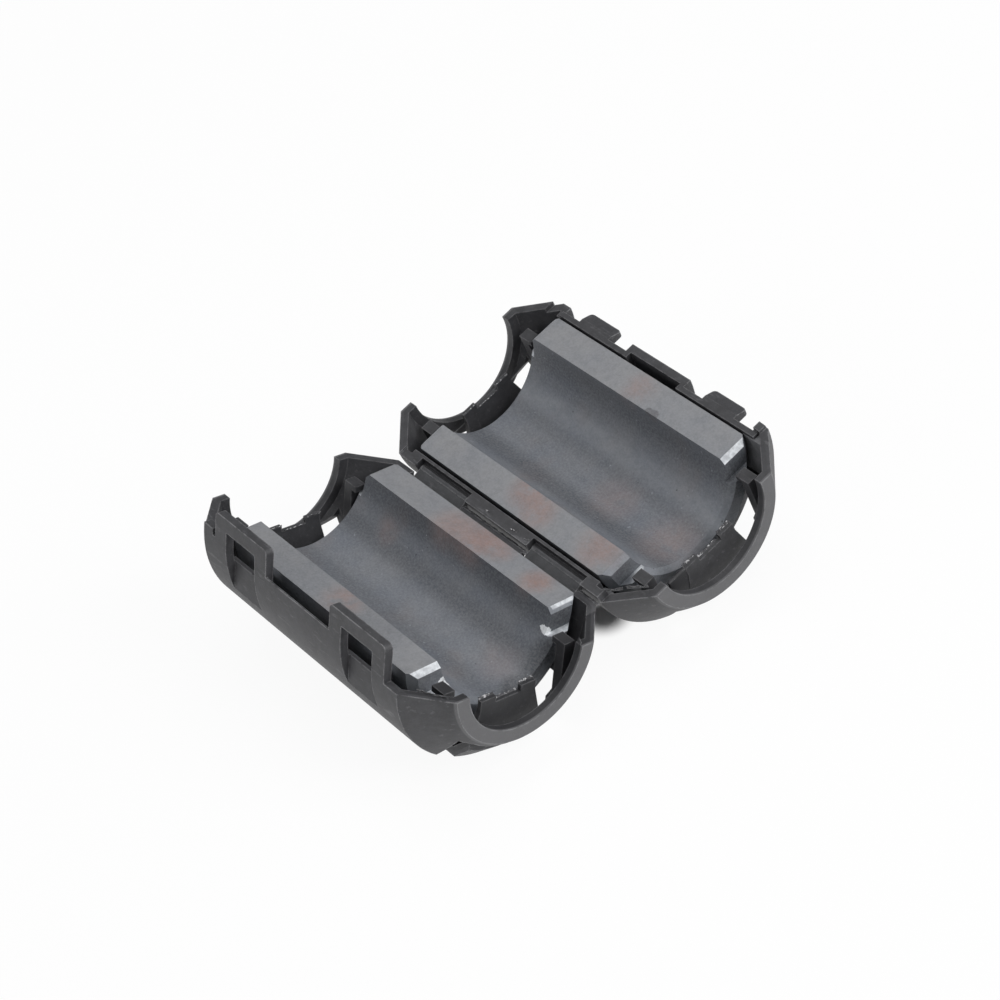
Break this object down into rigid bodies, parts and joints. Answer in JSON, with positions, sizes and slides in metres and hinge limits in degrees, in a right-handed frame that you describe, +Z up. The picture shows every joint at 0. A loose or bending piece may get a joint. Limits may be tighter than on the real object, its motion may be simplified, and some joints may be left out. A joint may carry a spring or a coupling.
{
  "type": "clip-on ferrite bead",
  "caption": "Clip-on ferrite bead for round cables: a hinged plastic case holding two half-round ferrite cores, shown lying open.",
  "frame": {"origin": "on the surface that the opened part lies on, at the middle of the case's length and midway between the axes of the two round shells", "axes": "+X along the cable, +Y across from the latch half to the catch half, +Z up out of the open halves"},
  "size_m": [0.037, 0.045, 0.0174],
  "materials": {
    "case_plastic": "matt charcoal nylon with fine moulding flash",
    "ferrite": "ground and sintered grey ferrite ceramic, slightly chipped"
  },
  "bodies": {
    "latch_half": {"latch_shell": "case_plastic", "ferrite_core_latch_side": "ferrite"},
    "hinge_straps": {"hinge_strap_near": "case_plastic", "hinge_strap_far": "case_plastic"},
    "catch_half": {"catch_shell": "case_plastic", "ferrite_core_catch_side": "ferrite"}
  },
  "joints": [
    {"name": "film_latch", "type": "hinge", "parent": "latch_half", "child": "hinge_straps", "pos_m": [0, -0.00089, 0.00756], "axis": [1, 0, 0], "range_deg": [-3.71, 47.44]},
    {"name": "film_catch", "type": "hinge", "parent": "hinge_straps", "child": "catch_half", "pos_m": [0, 0.00065, 0.0083], "axis": [1, 0, 0], "range_deg": [-8, 102.26]}
  ],
  "couplings": [
    {"joint": "film_latch", "follows": "film_catch", "ratio": 0.46389}
  ]
}
